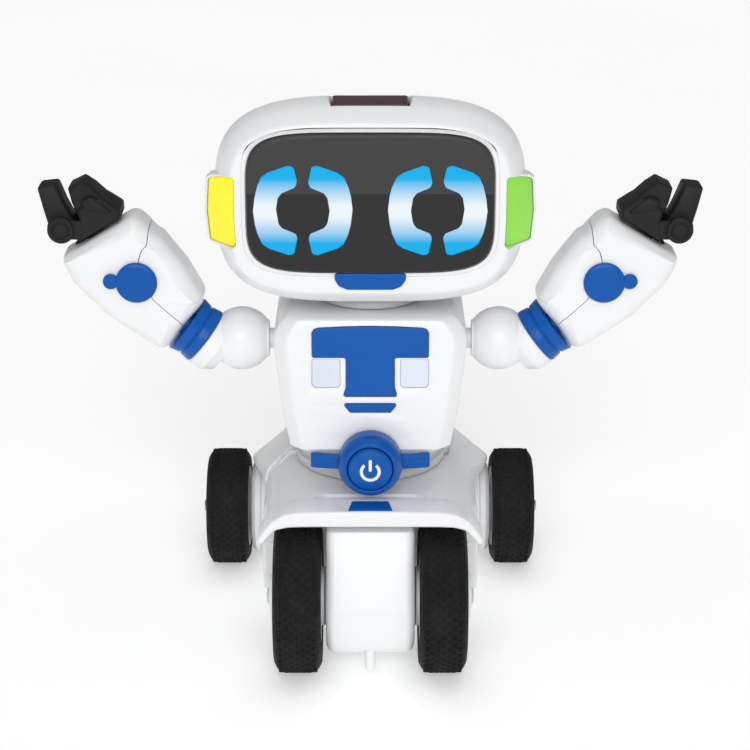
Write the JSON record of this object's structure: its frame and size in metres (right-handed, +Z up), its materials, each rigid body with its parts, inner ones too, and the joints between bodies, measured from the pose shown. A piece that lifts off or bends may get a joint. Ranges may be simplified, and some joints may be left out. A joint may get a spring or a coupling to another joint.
{
  "type": "toy robot",
  "caption": "Toy robot with a wide screen-faced head, round shoulders, gripping hands and a low chassis rolling on a close front wheel pair and a wide rear pair.",
  "frame": {"origin": "centre of the footprint on the floor the wheels stand on", "axes": "+X to the robot's left, +Y to its back (it faces -Y), +Z up"},
  "size_m": [0.2552, 0.155, 0.223],
  "materials": {
    "white_plastic": "smooth semi-gloss",
    "blue_plastic": "smooth semi-gloss",
    "black_plastic": "fine satin",
    "visor_black": "polished",
    "tyre_rubber": "matt, fine tread",
    "steel": "satin",
    "cell": "satin sleeve",
    "circuit_board": "solder mask",
    "grey_plastic": "satin",
    "maroon_window": "polished, dark red",
    "green_lens": "smooth",
    "yellow_lens": "smooth",
    "eye_cyan": "lit lens"
  },
  "bodies": {
    "chassis": {"chassis_top_shell": "white_plastic", "chassis_base": "white_plastic", "front_fender": "white_plastic", "fender_tab": "blue_plastic", "drum_shell_left": "white_plastic", "drum_shell_right": "white_plastic", "skid_peg": "white_plastic", "drive_motor_left": "steel", "drive_motor_right": "steel", "rear_axle": "steel", "main_board": "circuit_board", "waist_ring": "grey_plastic", "torso_front_shell": "white_plastic", "torso_rear_shell": "white_plastic", "chest_panel": "blue_plastic", "chest_slats": "blue_plastic", "belt": "blue_plastic", "battery_box": "black_plastic", "battery_cell_1": "cell", "battery_cell_2": "cell", "battery_cell_3": "cell", "battery_cell_4": "cell", "speaker": "black_plastic", "neck_post": "grey_plastic"},
    "head": {"face_frame": "white_plastic", "head_rear_shell": "white_plastic", "visor": "visor_black", "eye_light_left": "eye_cyan", "eye_light_right": "eye_cyan", "mouth_tab": "blue_plastic", "sensor_window": "maroon_window", "eye_board": "circuit_board", "ear_light_left": "green_lens", "ear_light_right": "yellow_lens"},
    "upper_arm_left": {"shoulder_ball_left": "white_plastic", "upper_arm_left": "blue_plastic"},
    "forearm_left": {"forearm_shell_left": "white_plastic", "forearm_cover_left": "white_plastic", "forearm_cap_left": "blue_plastic", "palm_left": "black_plastic"},
    "finger_left": {"finger_left": "black_plastic"},
    "front_wheel_left": {"front_tyre_left": "tyre_rubber", "front_rim_left": "white_plastic"},
    "rear_wheel_left": {"rear_tyre_left": "tyre_rubber", "rear_rim_left": "white_plastic"},
    "upper_arm_right": {"shoulder_ball_right": "white_plastic", "upper_arm_right": "blue_plastic"},
    "forearm_right": {"forearm_shell_right": "white_plastic", "forearm_cover_right": "white_plastic", "forearm_cap_right": "blue_plastic", "palm_right": "black_plastic"},
    "finger_right": {"finger_right": "black_plastic"},
    "front_wheel_right": {"front_tyre_right": "tyre_rubber", "front_rim_right": "white_plastic"},
    "rear_wheel_right": {"rear_tyre_right": "tyre_rubber", "rear_rim_right": "white_plastic"},
    "waist_button": {"waist_button": "blue_plastic"},
    "power_switch": {"power_switch": "black_plastic"},
    "battery_door": {"battery_door": "white_plastic", "battery_door_screw": "steel"}
  },
  "joints": [
    {"name": "front_spin_left", "type": "hinge", "parent": "chassis", "child": "front_wheel_left", "pos_m": [0.028, -0.0475, 0.03], "axis": [1, 0, 0], "continuous": true},
    {"name": "rear_spin_left", "type": "hinge", "parent": "chassis", "child": "rear_wheel_left", "pos_m": [0.061, 0.0525, 0.025], "axis": [1, 0, 0], "continuous": true},
    {"name": "shoulder_swing_left", "type": "hinge", "parent": "chassis", "child": "upper_arm_left", "pos_m": [0.0506, -0.005, 0.122], "axis": [1, 0, 0], "range_deg": [-90, 120]},
    {"name": "elbow_twist_left", "type": "hinge", "parent": "upper_arm_left", "child": "forearm_left", "pos_m": [0.0724, -0.005, 0.1283], "axis": [0.7878, 0, 0.6159], "range_deg": [-90, 90]},
    {"name": "finger_hinge_left", "type": "hinge", "parent": "forearm_left", "child": "finger_left", "pos_m": [0.1188, -0.005, 0.1684], "axis": [0, 1, 0], "range_deg": [-8, 50]},
    {"name": "front_spin_right", "type": "hinge", "parent": "chassis", "child": "front_wheel_right", "pos_m": [-0.028, -0.0475, 0.03], "axis": [1, 0, 0], "continuous": true},
    {"name": "rear_spin_right", "type": "hinge", "parent": "chassis", "child": "rear_wheel_right", "pos_m": [-0.061, 0.0525, 0.025], "axis": [1, 0, 0], "continuous": true},
    {"name": "shoulder_swing_right", "type": "hinge", "parent": "chassis", "child": "upper_arm_right", "pos_m": [-0.0506, -0.005, 0.122], "axis": [1, 0, 0], "range_deg": [-90, 120]},
    {"name": "elbow_twist_right", "type": "hinge", "parent": "upper_arm_right", "child": "forearm_right", "pos_m": [-0.0724, -0.005, 0.1283], "axis": [-0.7878, 0, 0.6159], "range_deg": [-90, 90]},
    {"name": "finger_hinge_right", "type": "hinge", "parent": "forearm_right", "child": "finger_right", "pos_m": [-0.1188, -0.005, 0.1684], "axis": [0, -1, 0], "range_deg": [-8, 50]},
    {"name": "neck_turn", "type": "hinge", "parent": "chassis", "child": "head", "pos_m": [0, 0, 0.1424], "axis": [0, 0, 1], "range_deg": [-75, 75]},
    {"name": "waist_button_press", "type": "slide", "parent": "chassis", "child": "waist_button", "axis": [0, 1, 0], "range_m": [0, 0.0011], "stiffness_N_per_m": 300},
    {"name": "power_switch_slide", "type": "slide", "parent": "chassis", "child": "power_switch", "axis": [1, 0, 0], "range_m": [0, 0.0045]},
    {"name": "battery_door_lift", "type": "slide", "parent": "chassis", "child": "battery_door", "axis": [0, 1, 0], "range_m": [0, 0.03]}
  ]
}
